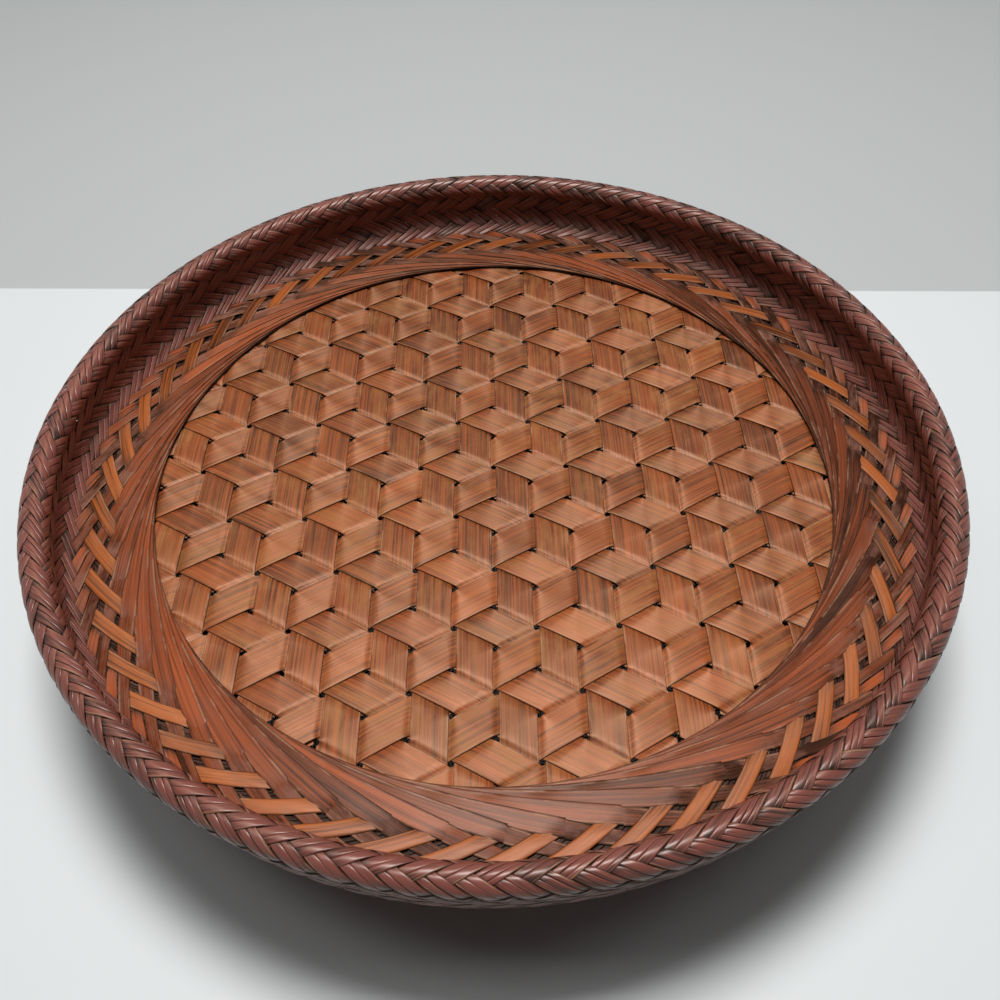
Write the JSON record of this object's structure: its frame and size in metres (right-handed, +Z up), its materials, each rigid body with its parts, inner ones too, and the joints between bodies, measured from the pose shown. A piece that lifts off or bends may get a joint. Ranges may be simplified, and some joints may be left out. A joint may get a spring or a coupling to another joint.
{
  "type": "woven bamboo tray",
  "caption": "Round footed tray of dark stained bamboo: triaxial woven floor, fanned border, herringbone wall, rolled rim and foot.",
  "frame": {"origin": "centre of the tray on the surface it stands on, level with the foot hoop's lower face", "axes": "+Z up through the open side; the floor's upright strips run along Y"},
  "size_m": [0.3804, 0.3804, 0.0787],
  "materials": {
    "floor_strip": "stained and lacquered split bamboo, fine lengthwise grain",
    "woven_sheet": "dark stained and lacquered bamboo splints, satin",
    "hoop": "stained bent bamboo, plain"
  },
  "bodies": {
    "root": {"foot_band": "woven_sheet", "foot_hoop": "hoop", "rim_hoop": "hoop", "strip_falling_01": "floor_strip", "strip_falling_02": "floor_strip", "strip_falling_03": "floor_strip", "strip_falling_04": "floor_strip", "strip_falling_05": "floor_strip", "strip_falling_06": "floor_strip", "strip_falling_07": "floor_strip", "strip_falling_08": "floor_strip", "strip_falling_09": "floor_strip", "strip_falling_10": "floor_strip", "strip_falling_11": "floor_strip", "strip_falling_12": "floor_strip", "strip_falling_13": "floor_strip", "strip_falling_14": "floor_strip", "strip_falling_15": "floor_strip", "strip_falling_16": "floor_strip", "strip_falling_17": "floor_strip", "strip_falling_18": "floor_strip", "strip_rising_01": "floor_strip", "strip_rising_02": "floor_strip", "strip_rising_03": "floor_strip", "strip_rising_04": "floor_strip", "strip_rising_05": "floor_strip", "strip_rising_06": "floor_strip", "strip_rising_07": "floor_strip", "strip_rising_08": "floor_strip", "strip_rising_09": "floor_strip", "strip_rising_10": "floor_strip", "strip_rising_11": "floor_strip", "strip_rising_12": "floor_strip", "strip_rising_13": "floor_strip", "strip_rising_14": "floor_strip", "strip_rising_15": "floor_strip", "strip_rising_16": "floor_strip", "strip_rising_17": "floor_strip", "strip_rising_18": "floor_strip", "strip_upright_01": "floor_strip", "strip_upright_02": "floor_strip", "strip_upright_03": "floor_strip", "strip_upright_04": "floor_strip", "strip_upright_05": "floor_strip", "strip_upright_06": "floor_strip", "strip_upright_07": "floor_strip", "strip_upright_08": "floor_strip", "strip_upright_09": "floor_strip", "strip_upright_10": "floor_strip", "strip_upright_11": "floor_strip", "strip_upright_12": "floor_strip", "strip_upright_13": "floor_strip", "strip_upright_14": "floor_strip", "strip_upright_15": "floor_strip", "strip_upright_16": "floor_strip", "strip_upright_17": "floor_strip", "strip_upright_18": "floor_strip", "woven_border": "woven_sheet"}
  },
  "joints": []
}
